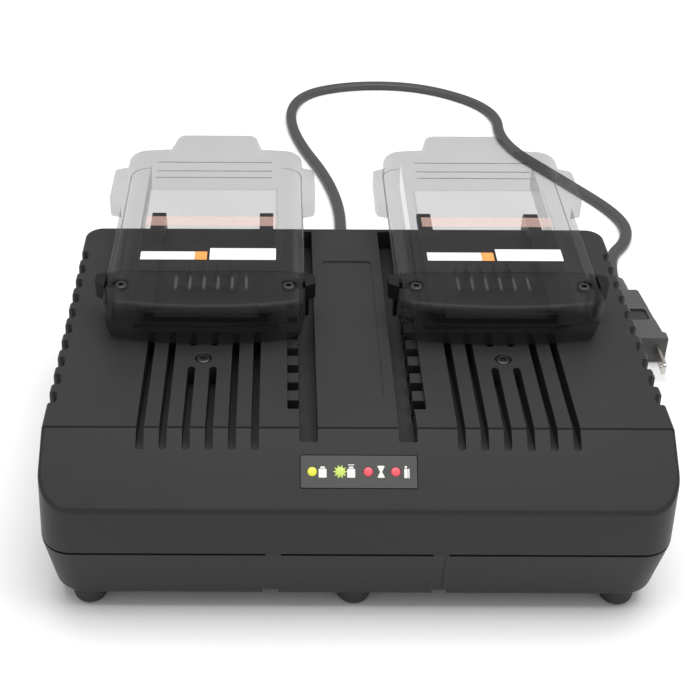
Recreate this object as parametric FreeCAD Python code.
import FreeCAD, Part
import math
import os

from FreeCAD import Vector

# A double dock charger for slide-on battery packs, with its two packs on it and its mains lead.
# Millimetres. X runs to the right, Y away from the user, Z up. The case's own middle is at X 0, Y 0
# while it is drawn. Everything is then shifted along Y, so that the origin ends on the floor in the
# middle of the area that the charger and its packs cover.

os.makedirs("parts", exist_ok=True)

# Case, outside
case_width = 240.0           # across the deck, at its upper edges
deck_run = 147.0             # level part of the top, from its bend to its back edge
incline_run = 26.0           # sloping part of the top, measured level
incline_drop = 19.5          # how far the slope falls over that run
deck_z = 74.0                # top of the deck above the floor
seam_z = 33.5                # joint between the two shells
base_z = 8.5                 # underside of the lower shell
upper_draft = 2.5            # degrees, upper walls widen downwards
lower_draft = 8.0            # degrees, lower walls close in downwards
front_corner = 13.0          # corner radii in plan
back_corner = 8.0
corner_flats = 5             # flats round each corner
top_edge_bevel = 1.0
base_edge_bevel = 2.4
wall = 2.6
seam_gap = 1.0               # height of the dark line between the shells
tongue_height = 4.0          # rim of the lower shell inside the upper one
tongue_wall = 1.4
fit_gap = 0.15               # between pieces that are pushed together

# Deck
dock_x = case_width / 2.0 - 59.2   # middle of each dock, left and right of the centre
slot_count = 6
slot_pitch = (dock_x - 17.3) / (slot_count - 1)
slot_width = 3.0
slot_depth = 11.0
slot_front = 8.3             # slots end this far in front of the bend
slot_back = 62.0             # and this far behind it
slot_well_wall = 1.5
channel_wall = 2.0
upper_hole = 16.0            # depth of the screw holes in the upper posts
slot_foot_rise = 5.0         # its floor slopes up at the front end
deck_screw_back = 44.4       # screw between the two middle slots, behind the bend
middle_slot_low = 38.3       # the two middle slots break here
middle_slot_high = 52.5
channel_inner = 15.3         # half width of the centre panel
channel_width = 7.0
channel_depth = 9.0
channel_front = 4.5          # channels end this far in front of the bend
channel_back = 3.5           # and this far before the back edge
panel_field_half = 11.0      # shallow bare field on the centre panel
panel_field_near = 17.5
panel_field_far = 118.0
panel_field_depth = 0.5
bend_groove = 0.8
comb_outer = 26.8            # outer edge of the openings beside the channels
comb_first = 19.4            # first cross rib, behind the bend
comb_pitch = 11.55
comb_rib = 6.2
comb_count = 6
comb_rib_drop = 2.2
side_vent_count = 10
side_vent_first = 18.1
side_vent_length = 7.0
side_vent_depth = 3.6
side_vent_flare = 3.2        # how far each mouth spreads where it leaves the wall
side_vent_bottom = 46.0
notch_inner = 30.0           # notches under the front and back lower edges
notch_width = 6.0
notch_height = 1.6
notch_depth = 7.0            # each way from just inside the seam's edge
floor_vent_count = 9
floor_vent_pitch = 14.0
floor_vent_width = 4.0
floor_vent_length = 34.0
floor_vent_y = 27.0

# Indicator plate on the slope
plate_width = 43.6
plate_length = 12.4
plate_centre = 17.0          # down the slope from the bend
plate_thick = 1.4
plate_recess = 1.2
lamp_radius = 1.75
lamp_proud = 0.25
lamp_xs = [-17.5, -7.0, 3.5, 13.8]
lamp_names = ["lamp_yellow", "lamp_green", "lamp_red_left", "lamp_red_right"]
led_board_depth = 8.0
led_board_thick = 1.6
led_board_half = 25.0
led_board_half_length = 7.0
emitter_half = 1.5
emitter_height = 3.2
standoff_xs = (-22.3, 19.5)
standoff_half = 1.4

# Terminal block and blades
block_half = 13.0
block_front = 90.0           # behind the bend
block_foot_inset = 2.0
block_length = 18.0
block_top = 4.6              # above the deck
blade_count = 4
blade_pitch = 6.0
blade_thick = 0.8
blade_top = 10.2
blade_inset = 3.0
lead_half = 0.8

# Packs
pack_half = 41.4
pack_front_crown = 4.2       # front face bulges this much
pack_front = 51.3            # middle of its front face, behind the bend
pack_back = 180.0
pack_corner = 7.0
pack_step_back = 189.0       # back edge between the corners and the nose
pack_step_half = 24.7
nose_back = 204.0
nose_half = 19.2
nose_flare = 2.5             # the nose widens by this where it leaves the step
nose_corner = 4.0
step_flare = 8.0             # and the step where it leaves the back edge
pack_split = 9.8             # joint of its two shells, above the deck
pack_top = 20.0
pack_bevel = 1.6
pack_wall = 2.0
pack_float = 0.3             # shoe above the deck
leaf_thick = 0.5             # contact leaves under the roof
leaf_gap = 0.08
leaf_length = 7.0
shoe_taper = 1.3
ear_front = 126.0            # behind the bend
ear_back = 169.0
ear_out = 5.6
ear_root = 3.0               # how far it reaches back into the side wall
ear_front_run = 8.0          # length of its sloping ends
ear_back_run = 3.0
ear_low = pack_split
ear_top = 18.6
channel_half = pack_half - 9.4     # hollow under the pack that takes the rails
channel_start = 63.0
channel_roof = 11.5
roof_thick = 1.5
lip_gap = 0.4
lip_front = 69.0
lip_back = 140.0
label_half = pack_half - 11.4
label_front = 86.0
label_back = 147.5
label_thick = 0.25
slit_count = 6
slit_pitch = 5.8
slit_width = 1.4
slit_front = 65.3
slit_back = 75.3
pack_screw_x = pack_half - 6.9
pack_screw_y = 68.5
pack_screw_head = 2.7
pack_screw_shank = 1.4
pack_screw_seat = 2.4        # below the top
pack_screw_height = 1.9
pack_post_radius = 4.2

# Dock rails, one set per dock
rail_front = 66.0            # behind the bend
rail_back = 147.0
rail_plate_half = channel_half - 1.4
rail_plate_thick = 2.0
rail_inner = channel_half - 10.4
rail_web = 3.4
rail_flange = 6.2
rail_height = 10.4
rail_flange_thick = 3.0
rail_lead_in = 4.0           # the flanges narrow over this length at the front
rail_nick = 2.0              # and by this much
stop_wall_height = 5.0
stop_wall_thick = 3.0

# Side latches of the packs
latch_y = 73.5
latch_length = 10.5
latch_low = 12.0
latch_high = 19.0
latch_out = 4.2
latch_strip_width = 5.0
latch_strip_thick = 1.6
latch_strip_low = 1.6
latch_stroke = 2.0
latch_gap = 0.4
latch_pin_half = 1.5
latch_pin_z = 15.6
latch_pin_y = 75.6
latch_head_half = 2.4
latch_back_wall = 1.6
latch_pad_taper = 2.5        # its pad narrows by this at each end

# Feet
foot_x = case_width / 2.0 - 15.0
foot_radius = 6.8
foot_inset = 8.6             # from the lower shell's edge to the foot's middle

# Screws and posts
post_x = case_width / 2.0 - 14.0
post_y = 72.0
post_radius = 4.2
screw_shank = 1.5
screw_head = 3.2
screw_head_height = 2.2
screw_sink = 1.6             # heads sit this far up their holes
deck_screw_head = 3.0
deck_screw_seat = 1.6        # head's height, sunk in the deck
deck_post_radius = 4.0
screw_play = 0.05            # round a shank in its hole

# Circuit board and what it carries
board_half_x = case_width / 2.0 - 24.0
board_front = -62.0
board_back = 62.0
board_z = 17.0
board_thick = 1.6
board_post_x = board_half_x - 8.0
board_post_y = 52.0
core_size = (42.0, 34.0, 30.0)
core_at = (30.0 - board_half_x, 5.0)
core_leg = 9.0
winding_gap = 0.4
winding_bulge = 5.0
sink_length = 56.0
sink_height = 30.0
sink_base = 3.0
sink_fin_count = 6
sink_fin_length = 12.0
sink_fin_thick = 1.5
sink_edge = dock_x - 12.8   # their right-hand ends, clear of the dock's leads
sink_x = sink_edge - sink_length / 2.0
sink_ys = [-8.0, 34.0]
capacitor_x = board_half_x - 18.0
capacitor_sizes = [(9.0, 30.0, -25.0, -30.0), (9.0, 30.0, -4.0, -30.0), (5.0, 18.0, capacitor_x, -8.0),
                   (5.0, 18.0, capacitor_x, 24.0)]
choke_radius = 11.0
choke_bore = 4.0
choke_thick = 8.0
choke_at = (sink_edge - sink_length - 10.0, 48.0)
fuse_radius = 2.6
fuse_length = 20.0
fuse_at = (choke_at[0] - 22.0, 54.0)
switch_size = (10.0, 4.5, 15.0)
switch_spread = 14.0         # either side of a heat sink's middle
switch_lift = 4.0
leg_pitch = 2.5
leg_half = 0.4

# Mains lead: a flat two-core cord, whose diameter is its width
cord_width = 6.6
cord_exit_x = 5.0
cord_exit_z = 20.0
relief_length = 28.0
relief_root = 6.4            # radius at the wall
relief_tip = 4.3
relief_collar = 7.8
relief_neck = 6.6           # from the wall's outer face to the collar
relief_collar_thick = 2.4
grip_half = 9.0
grip_height = 14.0
grip_length = 8.0
inner_lead_radius = 2.5
inner_lead_stop = 0.3        # clear of the board's edge
core_spread = 1.3
core_half = 0.7
boot_length = 20.0
boot_root = 4.4
boot_tip = 5.6
taper_sides = 20             # flats round the bend reliefs
plug_length = 44.0
plug_back_half = 5.8
plug_waist_half = 8.2
plug_front_half = 11.6
plug_thick = 15.0
plug_flange = 5.0
plug_lift = 0.4              # body above the floor
dimple_radius = 18.0
dimple_depth = 1.4
prong_gap = 12.7
prong_thick = 1.5
prong_height = 6.35
prong_length = 17.0
prong_bevel = 1.6

# Places that follow from those sizes
half_width = case_width / 2.0
deck_back = (deck_run + incline_run) / 2.0
bend_y = deck_back - deck_run
front_edge_y = bend_y - incline_run
front_edge_z = deck_z - incline_drop
slope = math.degrees(math.atan2(incline_drop, incline_run))
draft_rate = math.tan(math.radians(upper_draft))
lower_rate = math.tan(math.radians(lower_draft))
seam_front_y = front_edge_y - (front_edge_z - seam_z) * draft_rate
seam_back_y = deck_back + (deck_z - seam_z) * draft_rate
seam_half = half_width + (deck_z - seam_z) * draft_rate
cover_middle_y = (seam_front_y + bend_y + nose_back) / 2.0
screw_seat_z = base_z + screw_head_height + screw_sink
board_top = board_z + board_thick
blade_foot_z = deck_z - wall - 3.0
relief_inner_y = seam_back_y - relief_neck - relief_collar_thick
grip_back_y = relief_inner_y - 0.3
far = 400.0


def box(x0, x1, y0, y1, z0, z1):
    """A block between two corners."""
    return Part.makeBox(x1 - x0, y1 - y0, z1 - z0, Vector(x0, y0, z0))


def sided_box(side, inner, outer, y0, y1, z0, z1):
    """A block between two distances from the middle plane, on its left (-1) or right (1) side."""
    if side < 0:
        return box(-outer, -inner, y0, y1, z0, z1)
    return box(inner, outer, y0, y1, z0, z1)


def rod(x, y, z0, z1, radius):
    """An upright cylinder."""
    return Part.makeCylinder(radius, z1 - z0, Vector(x, y, z0))


def fuse(shapes):
    """One solid from overlapping ones."""
    whole = shapes[0]
    if len(shapes) > 1:
        whole = whole.multiFuse(shapes[1:])
    return whole.removeSplitter()


def outline(points, z):
    """A closed wire through (x, y, corner radius) points, each corner a tangent arc, at height z."""
    corners = []
    count = len(points)
    for i in range(count):
        x, y, radius = points[i]
        here = Vector(x, y, z)
        before = Vector(points[i - 1][0], points[i - 1][1], z) - here
        after = Vector(points[(i + 1) % count][0], points[(i + 1) % count][1], z) - here
        before.normalize()
        after.normalize()
        if radius <= 0:
            corners.append((here, None, here))
            continue
        half = before.getAngle(after) / 2.0
        reach = radius / math.tan(half)
        middle = before + after
        middle.normalize()
        dip = radius / math.sin(half) - radius
        corners.append((here + before * reach, here + middle * dip, here + after * reach))
    edges = []
    for i in range(count):
        start, mid, end = corners[i]
        if mid is not None:
            edges.append(Part.Arc(start, mid, end).toShape())
        following = corners[(i + 1) % count][0]
        if (following - end).Length > 1e-6:
            edges.append(Part.LineSegment(end, following).toShape())
    return Part.Wire(edges)


def prism(wire, height):
    """The wire's face raised by height."""
    return Part.Face(wire).extrude(Vector(0, 0, height))


def side_prism(points, x0, x1):
    """A closed outline of (y, z) points carried along X."""
    corners = [Vector(x0, y, z) for y, z in points]
    face = Part.Face(Part.makePolygon(corners + corners[:1]))
    return face.extrude(Vector(x1 - x0, 0, 0))


def plan(half, front, back, inset, z):
    """The case's outline in plan, drawn in by inset, its corners in flats so that drafted walls stay flat."""
    x = half - inset
    y0 = front + inset
    y1 = back - inset
    front_r = max(front_corner - inset, 1.0)
    back_r = max(back_corner - inset, 1.0)
    corners = [(x - front_r, y0 + front_r, front_r, -90.0), (x - back_r, y1 - back_r, back_r, 0.0),
               (-x + back_r, y1 - back_r, back_r, 90.0), (-x + front_r, y0 + front_r, front_r, 180.0)]
    points = []
    for cx, cy, radius, start in corners:
        for k in range(corner_flats + 1):
            angle = math.radians(start + 90.0 * k / corner_flats)
            points.append(Vector(cx + radius * math.cos(angle), cy + radius * math.sin(angle), z))
    return Part.makePolygon(points + points[:1])


def upper_plan(inset, z):
    """The upper shell's outline at a height: its walls widen downwards by the draft."""
    grow = (deck_z - z) * draft_rate
    front = front_edge_y - (front_edge_z - z) * draft_rate
    return plan(half_width + grow, front, deck_back + grow, inset, z)


def lower_plan(inset, z):
    """The lower shell's outline at a height: its walls close in downwards."""
    shrink = (seam_z - z) * lower_rate
    return plan(seam_half - shrink, seam_front_y + shrink, seam_back_y - shrink, inset, z)


def top_region(drop):
    """Everything under the deck and the slope, both lowered by drop at a right angle."""
    tilt = math.radians(slope)
    lowered = deck_z - drop
    shift = drop * math.tan(tilt / 2.0)
    knee = bend_y + shift
    reach = 60.0
    low_y = knee - reach
    low_z = lowered - reach * math.tan(tilt)
    profile = [(low_y, low_z), (knee, lowered), (far, lowered), (far, -far), (low_y, -far)]
    return side_prism(profile, -far, far)


def upper_form(inset, low, drop):
    """The upper shell's outer form, or the hollow inside it when inset and drop are its wall."""
    block = Part.makeLoft([upper_plan(inset, low), upper_plan(inset, deck_z + 1.0)], True, True)
    return block.common(top_region(drop))


def top_edges(shape):
    """The edges round the deck and slope, but not the bend between them."""
    chosen = []
    for edge in shape.Edges:
        ends = [v.Point for v in edge.Vertexes]
        if min(p.z for p in ends) < front_edge_z - 1.0:
            continue
        at_bend = all(abs(p.y - bend_y) < 0.01 for p in ends)
        upright = abs(ends[0].z - ends[-1].z) > incline_drop + 1.0
        if not at_bend and not upright:
            chosen.append(edge)
    return chosen


def slot_cutter(x, front, back):
    """A guide slot whose floor slopes up at its front end."""
    y0 = bend_y - front
    floor_z = deck_z - slot_depth
    above = deck_z + 10.0
    profile = [(y0, floor_z + slot_foot_rise), (y0 + slot_foot_rise, floor_z), (bend_y + back, floor_z),
               (bend_y + back, above), (y0, above)]
    return side_prism(profile, x - slot_width / 2.0, x + slot_width / 2.0)


def slot_well(x):
    """The pocket of plastic round a guide slot, on the underside of the deck."""
    half = slot_width / 2.0 + slot_well_wall
    return box(x - half, x + half, bend_y - slot_front - slot_well_wall, bend_y + slot_back + slot_well_wall,
               deck_z - slot_depth - slot_well_wall, deck_z + 1.0)


def slot_spans(index):
    """Front and back ends of one of the six slots: the two middle ones break round the screw."""
    if index in (slot_count // 2 - 1, slot_count // 2):
        return [(slot_front, middle_slot_low), (-middle_slot_high, slot_back)]
    return [(slot_front, slot_back)]


def channel_block(side, extra, depth):
    """One long channel beside the centre panel."""
    return sided_box(side, channel_inner - extra, channel_inner + channel_width + extra,
                     bend_y - channel_front - extra, deck_back - channel_back + extra,
                     deck_z - depth - extra, deck_z + 5.0)


def side_vent(side, y):
    """One edge vent: straight at its inner end and flared where it leaves the wall."""
    inner = half_width - side_vent_depth
    throat = half_width - 1.0
    mouth = half_width + 6.0
    near = side_vent_length / 2.0
    wide = near + side_vent_flare
    points = [(inner, y - near, 0), (throat, y - near, 0), (mouth, y - wide, 0),
              (mouth, y + wide, 0), (throat, y + near, 0), (inner, y + near, 0)]
    shape = prism(outline(points, side_vent_bottom), deck_z)
    if side < 0:
        shape = shape.mirror(Vector(0, 0, 0), Vector(1, 0, 0))
    return shape


def screw_posts():
    """Places of the posts that join the two shells."""
    return [(sx * post_x, sy * post_y) for sx in (-1, 1) for sy in (-1, 1)]


def on_slope(shape, down):
    """Moves a piece drawn flat at the origin onto the slope, its middle this far down from the bend."""
    tilt = math.radians(slope)
    spot = Vector(0, bend_y - down * math.cos(tilt), deck_z - down * math.sin(tilt))
    placed = shape.copy()
    placed.rotate(Vector(0, 0, 0), Vector(1, 0, 0), slope)
    placed.translate(spot)
    return placed


def deck_openings(side):
    """The slots, channel, comb window, screw seat, block opening and edge vents of one side."""
    cuts = [channel_block(side, 0.0, channel_depth)]
    for i in range(slot_count):
        x = side * dock_x + (i - (slot_count - 1) / 2.0) * slot_pitch
        for front, back in slot_spans(i):
            cuts.append(slot_cutter(x, front, back))
    screw_y = bend_y + deck_screw_back
    x = side * dock_x
    cuts.append(rod(x, screw_y, deck_z - deck_screw_seat, deck_z + 1.0, deck_screw_head + fit_gap))
    cuts.append(rod(x, screw_y, deck_z - slot_depth - 1.0, deck_z, screw_shank + screw_play))
    comb_start = bend_y + comb_first - comb_pitch + comb_rib / 2.0
    comb_end = bend_y + comb_first + comb_count * comb_pitch - comb_rib / 2.0
    cuts.append(sided_box(side, channel_inner + channel_width - 0.01, comb_outer, comb_start, comb_end,
                          deck_z - wall - channel_depth, deck_z + 1.0))
    block_y = bend_y + block_front
    half = block_half - block_foot_inset
    cuts.append(box(side * dock_x - half, side * dock_x + half, block_y + block_foot_inset,
                    block_y + block_length - block_foot_inset, deck_z - wall - 1.0, deck_z + 1.0))
    for i in range(side_vent_count):
        cuts.append(side_vent(side, bend_y + side_vent_first + i * comb_pitch))
    return cuts


def comb_ribs(side):
    """The cross ribs in the comb window beside a channel."""
    ribs = []
    for i in range(comb_count):
        y = bend_y + comb_first + i * comb_pitch + comb_rib / 2.0
        ribs.append(sided_box(side, channel_inner + channel_width + 0.8, comb_outer + 1.2, y - comb_rib / 2,
                              y + comb_rib / 2, deck_z - channel_depth, deck_z - comb_rib_drop))
    return ribs


def upper_case():
    """The top shell: a drafted hull with a level deck, a slope, slots, channels, combs and edge vents."""
    low = seam_z + seam_gap / 2.0
    hull = upper_form(0.0, low, 0.0)
    hull = hull.makeChamfer(top_edge_bevel, top_edges(hull))
    hollow = upper_form(wall, low - 1.0, wall)
    inside = upper_form(wall * 0.5, low, wall * 0.5)
    pieces = [hull.cut(hollow)]
    cuts = []
    for side in (-1, 1):
        for i in range(slot_count):
            x = side * dock_x + (i - (slot_count - 1) / 2.0) * slot_pitch
            pieces.append(slot_well(x).common(inside))
        pieces.append(channel_block(side, channel_wall, channel_depth).common(inside))
        pieces.append(rod(side * dock_x, bend_y + deck_screw_back, deck_z - slot_depth, deck_z - wall / 2.0,
                          deck_post_radius))
        cuts += deck_openings(side)
    for x, y in screw_posts():
        pieces.append(rod(x, y, low, deck_z - wall / 2.0, post_radius).common(inside))
        cuts.append(rod(x, y, low - 1.0, low + upper_hole, screw_shank + screw_play))
    cuts.append(box(-panel_field_half, panel_field_half, bend_y + panel_field_near, bend_y + panel_field_far,
                    deck_z - panel_field_depth, deck_z + 1.0))
    groove = [(bend_y - bend_groove, deck_z + 1.0), (bend_y, deck_z - bend_groove),
              (bend_y + bend_groove, deck_z + 1.0)]
    cuts.append(side_prism(groove, -far, far))
    recess = box(-plate_width / 2 - fit_gap, plate_width / 2 + fit_gap, -plate_length / 2 - fit_gap,
                 plate_length / 2 + fit_gap, -plate_recess, 3.0)
    cuts.append(on_slope(recess, plate_centre))
    for x in lamp_xs:
        cuts.append(on_slope(rod(x, 0, -wall - 3.0, 3.0, lamp_radius + fit_gap), plate_centre))
    shell = fuse(pieces)
    shell = shell.cut(cuts[0].multiFuse(cuts[1:]))
    return fuse([shell] + comb_ribs(-1) + comb_ribs(1))


def lower_case():
    """The bottom tray: drafted walls, a bevelled lower edge, a tongue, posts and vents."""
    top = seam_z - seam_gap / 2.0
    tray = Part.makeLoft([lower_plan(base_edge_bevel * 0.6, base_z), lower_plan(0.0, base_z + base_edge_bevel),
                          lower_plan(0.0, top)], True, True)
    hollow = Part.makeLoft([lower_plan(wall, base_z + wall), lower_plan(wall, top + 1.0)], True, True)
    tray = tray.cut(hollow)
    tongue_in = wall + fit_gap
    tongue_top = seam_z + tongue_height
    rim = Part.makeLoft([upper_plan(tongue_in, top - 6.0), upper_plan(tongue_in, tongue_top)], True, True)
    core = Part.makeLoft([upper_plan(tongue_in + tongue_wall, top - 7.0),
                          upper_plan(tongue_in + tongue_wall, tongue_top + 1.0)], True, True)
    pieces = [tray, rim.cut(core)]
    cuts = []
    post_top = seam_z + seam_gap / 2.0
    for x, y in screw_posts():
        pieces.append(rod(x, y, base_z + 1.0, post_top, post_radius))
        cuts.append(rod(x, y, base_z - 1.0, screw_seat_z, screw_head + fit_gap))
        cuts.append(rod(x, y, base_z - 1.0, post_top + 1.0, screw_shank + screw_play))
    for sx in (-1, 1):
        for sy in (-1, 1):
            x, y = sx * board_post_x, sy * board_post_y
            pieces.append(box(x - 2.5, x + 2.5, y - 2.5, y + 2.5, base_z + 1.0, board_z))
        x0 = notch_inner if sx > 0 else -notch_inner - notch_width
        for edge_y in (seam_front_y + 2.0, seam_back_y - 2.0):
            cuts.append(box(x0, x0 + notch_width, edge_y - notch_depth, edge_y + notch_depth, base_z - 1.0,
                            base_z + notch_height))
    for i in range(floor_vent_count):
        x = (i - (floor_vent_count - 1) / 2.0) * floor_vent_pitch
        half = floor_vent_width / 2.0
        cuts.append(box(x - half, x + half, floor_vent_y - floor_vent_length / 2,
                        floor_vent_y + floor_vent_length / 2, base_z - 1.0, base_z + wall + 1.0))
    exit_at = Vector(cord_exit_x, deck_back - 12.0, cord_exit_z)
    cuts.append(Part.makeCylinder(relief_root + fit_gap, 30.0, exit_at, Vector(0, 1, 0)))
    return fuse(pieces).cut(cuts[0].multiFuse(cuts[1:]))


def foot_places():
    """Three rubber feet along the front and three along the back."""
    shrink = (seam_z - base_z) * lower_rate
    front = seam_front_y + shrink + foot_inset
    back = seam_back_y - shrink - foot_inset
    return [(x, y) for y in (front, back) for x in (-foot_x, 0.0, foot_x)]


def rubber_feet():
    """Six round feet under the lower shell."""
    return Part.makeCompound([rod(x, y, 0.0, base_z, foot_radius) for x, y in foot_places()])


def case_screws():
    """The screws that go up through the lower posts."""
    screws = []
    for x, y in screw_posts():
        head = rod(x, y, screw_seat_z - screw_head_height, screw_seat_z, screw_head)
        shank = rod(x, y, screw_seat_z - 0.5, seam_z + upper_hole - 2.0, screw_shank)
        screws.append(head.fuse(shank).removeSplitter())
    return Part.makeCompound(screws)


def deck_screws():
    """The screw in front of each pack."""
    screws = []
    for side in (-1, 1):
        x = side * dock_x
        y = bend_y + deck_screw_back
        seat = deck_z - deck_screw_seat
        head = rod(x, y, seat, deck_z, deck_screw_head)
        shank = rod(x, y, deck_z - slot_depth + 0.5, seat + 0.4, screw_shank)
        screws.append(head.fuse(shank).removeSplitter())
    return Part.makeCompound(screws)


def dock_rail(side):
    """A moulded plate with two rails whose flanges face outwards, and a low wall at its front end."""
    x = side * dock_x
    y0 = bend_y + rail_front
    y1 = bend_y + rail_back - top_edge_bevel - 0.5
    top = deck_z + rail_height
    pieces = [box(x - rail_plate_half, x + rail_plate_half, y0, y1, deck_z, deck_z + rail_plate_thick)]
    for way in (-1, 1):
        web_a = x + way * rail_inner
        web_b = x + way * (rail_inner + rail_web)
        cap_b = x + way * (rail_inner + rail_flange)
        pieces.append(box(min(web_a, web_b), max(web_a, web_b), y0, y1, deck_z + 0.5, top))
        cap = outline([(web_a, y0, 0), (cap_b - way * rail_nick, y0, 0), (cap_b, y0 + rail_lead_in, 0),
                       (cap_b, y1, 0), (web_a, y1, 0)], top - rail_flange_thick)
        pieces.append(prism(cap, rail_flange_thick))
    pieces.append(box(x - rail_inner - 0.5, x + rail_inner + 0.5, y0, y0 + stop_wall_thick, deck_z + 0.5,
                      deck_z + stop_wall_height))
    block_y = bend_y + block_front
    window = box(x - block_half - fit_gap, x + block_half + fit_gap, block_y - fit_gap,
                 block_y + block_length + fit_gap, deck_z - 1.0, deck_z + rail_plate_thick + 1.0)
    return fuse(pieces).cut(window)


def blade_xs(side):
    """X of each contact blade in a dock."""
    return [side * dock_x + (i - (blade_count - 1) / 2.0) * blade_pitch for i in range(blade_count)]


def terminal_block(side):
    """The insulating block that holds the blades, with a foot through the deck."""
    x = side * dock_x
    y0 = bend_y + block_front
    y1 = y0 + block_length
    head = box(x - block_half, x + block_half, y0, y1, deck_z, deck_z + block_top)
    inset = block_foot_inset + fit_gap
    half = block_half - inset
    foot = box(x - half, x + half, y0 + inset, y1 - inset, blade_foot_z, deck_z + 0.5)
    body = head.fuse(foot).removeSplitter()
    for bx in blade_xs(side):
        body = body.cut(box(bx - blade_thick / 2, bx + blade_thick / 2, y0 + blade_inset, y1 - blade_inset,
                            blade_foot_z - 1.0, deck_z + block_top + 1.0))
    return body


def contact_blades(side):
    """Upright blades with chamfered leading corners."""
    y0 = bend_y + block_front + blade_inset
    y1 = y0 + block_length - 2 * blade_inset
    high = deck_z + blade_top
    profile = [(y0, blade_foot_z), (y1, blade_foot_z), (y1, high - 1.5), (y1 - 1.5, high), (y0 + 1.5, high),
               (y0, high - 1.5)]
    return Part.makeCompound([side_prism(profile, bx - blade_thick / 2, bx + blade_thick / 2)
                              for bx in blade_xs(side)])


def dock_leads(side):
    """Stiff square leads from the circuit board up to each blade."""
    y = bend_y + block_front + block_length / 2.0
    leads = [box(bx - lead_half, bx + lead_half, y - lead_half, y + lead_half, board_top, blade_foot_z)
             for bx in blade_xs(side)]
    return Part.makeCompound(leads)


def indicator_plate():
    """The grey plate in the slope, with a hole for each lamp."""
    plate = box(-plate_width / 2, plate_width / 2, -plate_length / 2, plate_length / 2, -plate_recess,
                plate_thick - plate_recess)
    for x in lamp_xs:
        plate = plate.cut(rod(x, 0, -5.0, 5.0, lamp_radius + 0.03))
    return on_slope(plate, plate_centre)


def lamp(x):
    """A lens on a light pipe that reaches back to its emitter."""
    top = plate_thick - plate_recess + lamp_proud
    return on_slope(rod(x, 0, emitter_height - led_board_depth, top, lamp_radius), plate_centre)


def indicator_board():
    """The small circuit board behind the lamps."""
    board = box(-led_board_half, led_board_half, -led_board_half_length, led_board_half_length,
                -led_board_depth - led_board_thick, -led_board_depth)
    return on_slope(board, plate_centre)


def indicator_emitters():
    """Four small light emitters on that board."""
    blocks = [box(x - emitter_half, x + emitter_half, -emitter_half, emitter_half, -led_board_depth,
                  emitter_height - led_board_depth) for x in lamp_xs]
    return Part.makeCompound([on_slope(block, plate_centre) for block in blocks])


def indicator_standoffs():
    """Two square posts between the slope's inner face and the small board."""
    posts = [box(x - standoff_half, x + standoff_half, -standoff_half, standoff_half, -led_board_depth, -wall)
             for x in standoff_xs]
    return Part.makeCompound([on_slope(post, plate_centre) for post in posts])


def main_board():
    """The circuit board on its four posts."""
    return box(-board_half_x, board_half_x, board_front, board_back, board_z, board_top)


def transformer_core():
    """Two E halves: a block with a window each side of its middle leg."""
    sx, sy, sz = core_size
    x, y = core_at
    block = box(x - sx / 2, x + sx / 2, y - sy / 2, y + sy / 2, board_top, board_top + sz)
    for way in (-1, 1):
        a = x + way * core_leg / 2
        b = x + way * (sx / 2 - core_leg / 2)
        block = block.cut(box(min(a, b), max(a, b), y - sy, y + sy, board_top + core_leg / 2,
                              board_top + sz - core_leg / 2))
    return block


def transformer_winding():
    """The copper winding on the middle leg, bulging at both ends of the core."""
    sx, sy, sz = core_size
    x, y = core_at
    half = sx / 2 - core_leg / 2 - winding_gap
    end = sy / 2 + winding_bulge
    z0 = board_top + core_leg / 2 + winding_gap
    z1 = board_top + sz - core_leg / 2 - winding_gap
    coil = prism(outline([(x - half, y - end, 6), (x + half, y - end, 6), (x + half, y + end, 6),
                          (x - half, y + end, 6)], z0), z1 - z0)
    leg = core_leg / 2 + winding_gap
    return coil.cut(box(x - leg, x + leg, y - sy / 2 - winding_gap, y + sy / 2 + winding_gap, z0 - 1, z1 + 1))


def heat_sinks():
    """Two finned plates that stand on the board."""
    sinks = []
    top = board_top + sink_height
    for y in sink_ys:
        first = sink_edge - sink_length
        pieces = [box(first, sink_edge, y, y + sink_base, board_top, top)]
        step = (sink_length - sink_fin_thick) / (sink_fin_count - 1)
        for i in range(sink_fin_count):
            fx = first + i * step
            pieces.append(box(fx, fx + sink_fin_thick, y + 0.5, y + sink_base + sink_fin_length, board_top, top))
        sinks.append(fuse(pieces))
    return Part.makeCompound(sinks)


def power_switches():
    """Transistors and diodes on three legs each, against the plain side of the heat sinks."""
    sx, sy, sz = switch_size
    low = board_top + switch_lift
    parts = []
    for y in sink_ys:
        for way in (-1, 1):
            cx = sink_x + way * switch_spread
            mid_y = y - sy / 2
            pieces = [box(cx - sx / 2, cx + sx / 2, y - sy, y, low, low + sz)]
            for k in (-1, 0, 1):
                leg_x = cx + k * leg_pitch
                pieces.append(box(leg_x - leg_half, leg_x + leg_half, mid_y - leg_half, mid_y + leg_half,
                                  board_top, low + 1.0))
            parts.append(fuse(pieces))
    return Part.makeCompound(parts)


def capacitors():
    """Upright smoothing capacitors."""
    cans = []
    for radius, height, x, y in capacitor_sizes:
        cans.append(rod(x, y, board_top, board_top + height, radius))
    return Part.makeCompound(cans)


def mains_choke():
    """A ring choke that stands on edge."""
    x, y = choke_at
    middle = Vector(x - choke_thick / 2, y, board_top + choke_radius)
    ring = Part.makeCylinder(choke_radius, choke_thick, middle, Vector(1, 0, 0))
    return ring.cut(Part.makeCylinder(choke_bore, choke_thick, middle, Vector(1, 0, 0)))


def fuse_link():
    """The glass fuse lying in its two clips."""
    x, y = fuse_at
    z = board_top + fuse_radius + 1.6
    tube = Part.makeCylinder(fuse_radius, fuse_length, Vector(x - fuse_length / 2, y, z), Vector(1, 0, 0))
    clips = []
    for way in (-1, 1):
        cx = x + way * (fuse_length / 2 - 3.0)
        clip = box(cx - 2, cx + 2, y - fuse_radius - 0.8, y + fuse_radius + 0.8, board_top, z + 1.0)
        clips.append(clip.cut(tube))
    return tube, Part.makeCompound(clips)


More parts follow.
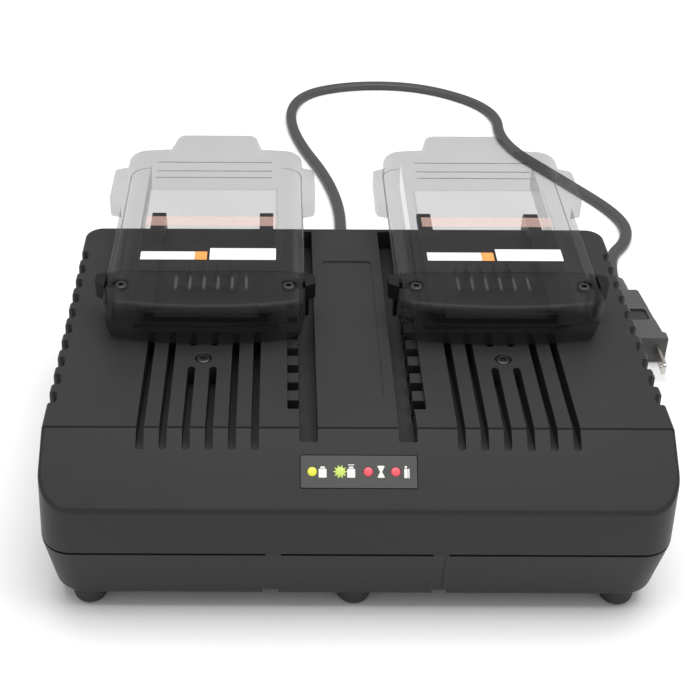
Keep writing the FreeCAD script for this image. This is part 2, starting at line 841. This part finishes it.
def pack_plan(inset, z):
    """A pack's outline in plan: crowned front, straight sides, a stepped back and a nose."""
    front = bend_y + pack_front
    back = bend_y + pack_back
    side_front = front + pack_front_crown
    step_y = bend_y + pack_step_back
    points = [(0.0, front, 180.0), (pack_half, side_front, pack_corner), (pack_half, back, pack_corner),
              (pack_step_half + step_flare, back, 0), (pack_step_half, step_y, 0),
              (nose_half + nose_flare, step_y, 0), (nose_half, bend_y + nose_back, nose_corner)]
    mirrored = [(-x, y, r) for x, y, r in reversed(points[1:])]
    wire = outline(points + mirrored, z)
    if inset > 0:
        wire = wire.makeOffset2D(-inset, 2)
    return wire


def pack_channel():
    """The hollow under a pack that its rails and blades slide through, open at the back."""
    return box(-channel_half, channel_half, bend_y + channel_start, far, deck_z - 5.0, deck_z + channel_roof)


def latch_pocket(way):
    """Where a side latch sinks into the pack."""
    y = bend_y + latch_y
    half = latch_length / 2 + latch_gap
    return sided_box(way, pack_half - latch_stroke - latch_gap, pack_half + 10.0, y - half, y + half,
                     deck_z + latch_strip_low - latch_gap, deck_z + latch_high + latch_gap)


def pack_screw_places():
    """Two screws that close a pack at its front; its shells hook together at the back."""
    return [(way * pack_screw_x, bend_y + pack_screw_y) for way in (-1, 1)]


def pack_ear(way):
    """The raised side guard towards the back of a pack."""
    a = way * (pack_half - ear_root)
    b = way * (pack_half + ear_out)
    y0 = bend_y + ear_front
    y1 = bend_y + ear_back
    flat = outline([(a, y0 - ear_front_run, 0), (b, y0, 0), (b, y1, 0), (a, y1 + ear_back_run, 0)],
                   deck_z + ear_low)
    return prism(flat, ear_top - ear_low)


def pack_cover():
    """A pack's upper shell: a bevelled lid with side ears, slits, screw posts and latch pockets."""
    low = deck_z + pack_split
    top = deck_z + pack_top
    ceiling = top - pack_wall / 2
    straight = Part.makeLoft([pack_plan(0, low), pack_plan(0, top - pack_bevel)], True, True)
    bevel = Part.makeLoft([pack_plan(0, top - pack_bevel), pack_plan(pack_bevel, top)], True, True)
    body = fuse([straight, bevel, pack_ear(-1), pack_ear(1)])
    hollow = prism(pack_plan(pack_wall, deck_z - 1.0), top - pack_wall - deck_z + 1.0)
    pieces = [body.cut(hollow)]
    for x, y in pack_screw_places():
        pieces.append(rod(x, y, low, ceiling, pack_post_radius))
    pocket = pack_half - latch_stroke - latch_gap
    half = latch_length / 2 + latch_gap + 1.2
    y = bend_y + latch_y
    for way in (-1, 1):
        pieces.append(sided_box(way, pocket - latch_back_wall, pocket + 1.0, y - half, y + half, low, ceiling))
    cuts = [pack_channel()]
    hole = latch_pin_half + latch_gap
    pin_y = bend_y + latch_pin_y
    pin_z = deck_z + latch_pin_z
    for way in (-1, 1):
        cuts.append(latch_pocket(way))
        cuts.append(sided_box(way, pack_half - 10.0, pack_half + 2.0, pin_y - hole, pin_y + hole,
                              pin_z - hole, pin_z + hole))
    for x, y in pack_screw_places():
        cuts.append(rod(x, y, top - pack_screw_seat, top + 1.0, pack_screw_head + fit_gap))
        cuts.append(rod(x, y, low - 1.0, top, pack_screw_shank + screw_play))
    for i in range(slit_count):
        x = (i - (slit_count - 1) / 2.0) * slit_pitch
        cuts.append(box(x - slit_width / 2, x + slit_width / 2, bend_y + slit_front, bend_y + slit_back,
                        top - 5.0, top + 1.0))
    return fuse(pieces).cut(cuts[0].multiFuse(cuts[1:]))


def pack_base():
    """A pack's lower shell: a tapering shoe, two runners with lips, and a roof over the rails."""
    low = deck_z + pack_float
    split = deck_z + pack_split
    inset = pack_wall + fit_gap
    room_top = deck_z + pack_top - pack_wall - 1.0
    shoe = Part.makeLoft([pack_plan(shoe_taper, low), pack_plan(0, split)], True, True)
    shoe = shoe.cut(pack_channel())
    outer_roof = channel_half + pack_wall
    room = prism(pack_plan(inset, split - 1.0), room_top - split + 1.0)
    hood = box(-outer_roof, outer_roof, bend_y + channel_start - pack_wall, far, split - 0.5,
               deck_z + channel_roof + roof_thick)
    pieces = [shoe, hood.cut(pack_channel()).common(room)]
    for way in (-1, 1):
        pieces.append(sided_box(way, rail_inner + rail_web + lip_gap, channel_half + 0.5, bend_y + lip_front,
                                bend_y + lip_back, deck_z + rail_plate_thick + lip_gap,
                                deck_z + rail_height - rail_flange_thick - lip_gap))
    cuts = [latch_pocket(-1), latch_pocket(1)]
    for x, y in pack_screw_places():
        cuts.append(rod(x, y, low + 2.0, split + 1.0, pack_screw_shank + screw_play))
        cuts.append(rod(x, y, split, room_top + 1.0, pack_post_radius + fit_gap))
    return fuse(pieces).cut(cuts[0].multiFuse(cuts[1:]))


def pack_label():
    """The plain label on a pack's top."""
    top = deck_z + pack_top
    return box(-label_half, label_half, bend_y + label_front, bend_y + label_back, top, top + label_thick)


def pack_screws():
    """The two screws in a pack's top."""
    screws = []
    seat = deck_z + pack_top - pack_screw_seat
    for x, y in pack_screw_places():
        head = rod(x, y, seat, seat + pack_screw_height, pack_screw_head)
        shank = rod(x, y, deck_z + 3.5, seat + 0.5, pack_screw_shank)
        screws.append(head.fuse(shank).removeSplitter())
    return Part.makeCompound(screws)


def pack_contacts():
    """Pairs of leaves under a pack's roof that take the dock's blades between them."""
    y0 = bend_y + block_front + blade_inset + 2.0
    low = deck_z + stop_wall_height + 0.8
    leaves = []
    for bx in blade_xs(0):
        for way in (-1, 1):
            a = bx + way * (blade_thick / 2 + leaf_gap)
            b = a + way * leaf_thick
            leaves.append(box(min(a, b), max(a, b), y0, y0 + leaf_length, low, deck_z + channel_roof))
    return Part.makeCompound(leaves)


def latch_button(way):
    """A side latch: a thumb pad over a strip, with a headed pin that holds it in the pack."""
    y = bend_y + latch_y
    inner = pack_half + 0.05
    outer = inner + latch_out
    half = latch_length / 2
    tip = half - latch_pad_taper
    pad = prism(outline([(inner, y - half, 0), (outer, y - tip, 0), (outer, y + tip, 0), (inner, y + half, 0)],
                        deck_z + latch_low), latch_high - latch_low)
    wide = latch_strip_width / 2
    narrow = latch_strip_width / 4
    strip_top = deck_z + latch_low + 1.0
    strip_low = deck_z + latch_strip_low
    strip = side_prism([(y - wide, strip_top), (y + wide, strip_top), (y + narrow, strip_low),
                        (y - narrow, strip_low)], inner, inner + latch_strip_thick)
    pin_y = bend_y + latch_pin_y
    pin_z = deck_z + latch_pin_z
    head_x = pack_half - latch_stroke - latch_gap - latch_back_wall - 0.15
    pieces = [pad, strip]
    for x0, x1, size in ((head_x - 0.5, inner + 1.0, latch_pin_half), (head_x - 1.2, head_x, latch_head_half)):
        pieces.append(box(x0, x1, pin_y - size, pin_y + size, pin_z - size, pin_z + size))
    button = fuse(pieces)
    if way < 0:
        button = button.mirror(Vector(0, 0, 0), Vector(1, 0, 0))
    return button


def cord_points():
    """The lead's route, chosen by hand: out of the case, down to the floor, round a loop and to the plug."""
    back = seam_back_y + relief_length
    z = cord_width / 2.0
    level = [(4.6, 240.0), (5.0, 310.0), (-25.0, 392.0), (-20.0, 443.0), (20.0, 461.0), (71.0, 457.0),
             (114.0, 422.0), (110.0, 374.0), (141.0, 326.0), (168.0, 283.0), (168.0, 256.5), (150.0, 234.0),
             (150.0, 206.0)]
    route = [Vector(cord_exit_x, back, cord_exit_z), Vector(cord_exit_x, back + 30.0, cord_exit_z)]
    route += [Vector(x, bend_y + y, z) for x, y in level]
    return route


def round_path(points):
    """Straight runs joined by tangent arcs, each as large as its two runs allow."""
    edges = []
    start = points[0]
    for i in range(1, len(points) - 1):
        before = points[i - 1] - points[i]
        after = points[i + 1] - points[i]
        shorter = min(before.Length, after.Length)
        before.normalize()
        after.normalize()
        turn = math.pi - before.getAngle(after)
        radius = 0.45 * shorter / math.tan(turn / 2.0)
        reach = 0.45 * shorter
        middle = before + after
        middle.normalize()
        dip = radius / math.cos(turn / 2.0) - radius
        a = points[i] + before * reach
        b = points[i] + after * reach
        edges.append(Part.LineSegment(start, a).toShape())
        edges.append(Part.Arc(a, points[i] + middle * dip, b).toShape())
        start = b
    edges.append(Part.LineSegment(start, points[-1]).toShape())
    return Part.Wire(edges)


def power_cord():
    """The free lead as one tube along its route."""
    wire = round_path(cord_points())
    circle = Part.Circle(cord_points()[0], Vector(0, 1, 0), cord_width / 2.0)
    return wire.makePipeShell([Part.Wire(circle.toShape())], True, False)


def taper_y(sections, x, y, z):
    """A stack of flat-sided rounds along Y, through (distance, radius) sections."""
    rings = []
    for distance, radius in sections:
        points = []
        for k in range(taper_sides):
            angle = 2.0 * math.pi * k / taper_sides
            points.append(Vector(x + radius * math.cos(angle), y + distance, z + radius * math.sin(angle)))
        rings.append(Part.makePolygon(points + points[:1]))
    return Part.makeLoft(rings, True, True)


def strain_relief():
    """The tapered bend relief in the back wall, with a collar inside the shell."""
    y = seam_back_y - relief_neck
    collar = taper_y([(-relief_collar_thick, relief_collar), (0.0, relief_collar)], cord_exit_x, y, cord_exit_z)
    taper = taper_y([(-0.5, relief_root), (relief_neck, relief_root), (relief_neck + relief_length, relief_tip)],
                    cord_exit_x, y, cord_exit_z)
    return fuse([collar, taper])


def cord_grip():
    """The clamp on the lower shell's floor that holds the lead against a pull."""
    block = box(cord_exit_x - grip_half, cord_exit_x + grip_half, grip_back_y - grip_length, grip_back_y,
                base_z + wall, cord_exit_z + grip_height / 2)
    return block.cut(lead_tube(inner_lead_radius))


def lead_tube(radius):
    """A round run along the lead's axis, from the board's edge to the bend relief's collar."""
    length = relief_inner_y - board_back - inner_lead_stop
    return Part.makeCylinder(radius, length, Vector(cord_exit_x, board_back + inner_lead_stop, cord_exit_z),
                             Vector(0, 1, 0))


def inner_lead():
    """The lead inside the case, through the clamp, with its two cores on the board."""
    pieces = [lead_tube(inner_lead_radius)]
    for way in (-1, 1):
        x = cord_exit_x + way * core_spread
        pieces.append(box(x - core_half, x + core_half, board_back - 6.0, board_back + 2.0, board_top,
                          board_top + 2 * core_half))
    return fuse(pieces)


def plug_place():
    """Where the lead ends and the plug begins."""
    return cord_points()[-1]


def plug_boot():
    """The boot between the lead and the plug's body, wider towards the plug."""
    end = plug_place()
    return taper_y([(-boot_length, boot_tip), (0.0, boot_root)], end.x, end.y, max(end.z, boot_tip))


def plug_outline(z):
    """The plug's body in plan, narrow at the boot and wide at its face."""
    end = plug_place()
    y0 = end.y - boot_length
    face_y = y0 - plug_length
    flange_y = face_y + plug_flange
    half = [(plug_back_half, y0, 1.5), (plug_waist_half, y0 - plug_length * 0.52, 20.0),
            (plug_front_half - 1.6, flange_y, 0), (plug_front_half, flange_y, 0), (plug_front_half, face_y, 1.0)]
    right = [(end.x + w, y, r) for w, y, r in half]
    left = [(end.x - w, y, r) for w, y, r in reversed(half)]
    return outline(right + left, z)


def plug_body():
    """A moulded two-blade plug that lies flat: flared body, flange and a finger hollow across its top."""
    end = plug_place()
    body = prism(plug_outline(plug_lift), plug_thick)
    y = end.y - boot_length - plug_length * 0.5
    z = plug_lift + plug_thick + dimple_radius - dimple_depth
    return body.cut(Part.makeCylinder(dimple_radius, 80.0, Vector(end.x - 40.0, y, z), Vector(1, 0, 0)))


def plug_blades():
    """Two flat blades with bevelled tips."""
    end = plug_place()
    y0 = end.y - boot_length - plug_length
    tip = y0 - prong_length
    mid_z = plug_lift + plug_thick / 2.0
    low = mid_z - prong_height / 2
    high = mid_z + prong_height / 2
    profile = [(y0, low), (y0, high), (tip + prong_bevel, high), (tip, high - prong_bevel), (tip, low + prong_bevel),
               (tip + prong_bevel, low)]
    blades = []
    for way in (-1, 1):
        x = end.x + way * prong_gap / 2.0
        blade = side_prism(profile, x - prong_thick / 2, x + prong_thick / 2)
        hole = Part.makeCylinder(1.5, 10.0, Vector(x - 5.0, tip + 4.5, mid_z), Vector(1, 0, 0))
        blades.append(blade.cut(hole))
    return Part.makeCompound(blades)


def save(name, shape):
    """Shifts a piece to the shared origin and writes it."""
    placed = shape.copy()
    placed.translate(Vector(0, -cover_middle_y, 0))
    placed.exportStep("parts/" + name + ".step")
    print(name, "solids", len(placed.Solids), "valid", placed.isValid(), "volume", round(placed.Volume, 1))


save("upper_case", upper_case())
save("lower_case", lower_case())
save("rubber_feet", rubber_feet())
save("case_screws", case_screws())
save("deck_screws", deck_screws())
save("indicator_plate", indicator_plate())
for name, x in zip(lamp_names, lamp_xs):
    save(name, lamp(x))
save("indicator_board", indicator_board())
save("indicator_emitters", indicator_emitters())
save("indicator_standoffs", indicator_standoffs())
save("main_board", main_board())
save("transformer_core", transformer_core())
save("transformer_winding", transformer_winding())
save("heat_sinks", heat_sinks())
save("power_switches", power_switches())
save("capacitors", capacitors())
save("mains_choke", mains_choke())
glass_fuse, fuse_clips = fuse_link()
save("fuse", glass_fuse)
save("fuse_clips", fuse_clips)
save("cord_grip", cord_grip())
save("inner_lead", inner_lead())
save("strain_relief", strain_relief())
save("power_cord", power_cord())
save("plug_boot", plug_boot())
save("plug_body", plug_body())
save("plug_blades", plug_blades())
for side, hand in ((-1, "left"), (1, "right")):
    save("dock_rail_" + hand, dock_rail(side))
    save("terminal_block_" + hand, terminal_block(side))
    save("contact_blades_" + hand, contact_blades(side))
    save("dock_leads_" + hand, dock_leads(side))
    pieces = {"cover": pack_cover(), "base": pack_base(), "label": pack_label(), "screws": pack_screws(),
              "contacts": pack_contacts(), "latch_inner": latch_button(-side),
              "latch_outer": latch_button(side)}
    for piece, shape in pieces.items():
        shape.translate(Vector(side * dock_x, 0, 0))
        save("pack_" + hand + "_" + piece, shape)
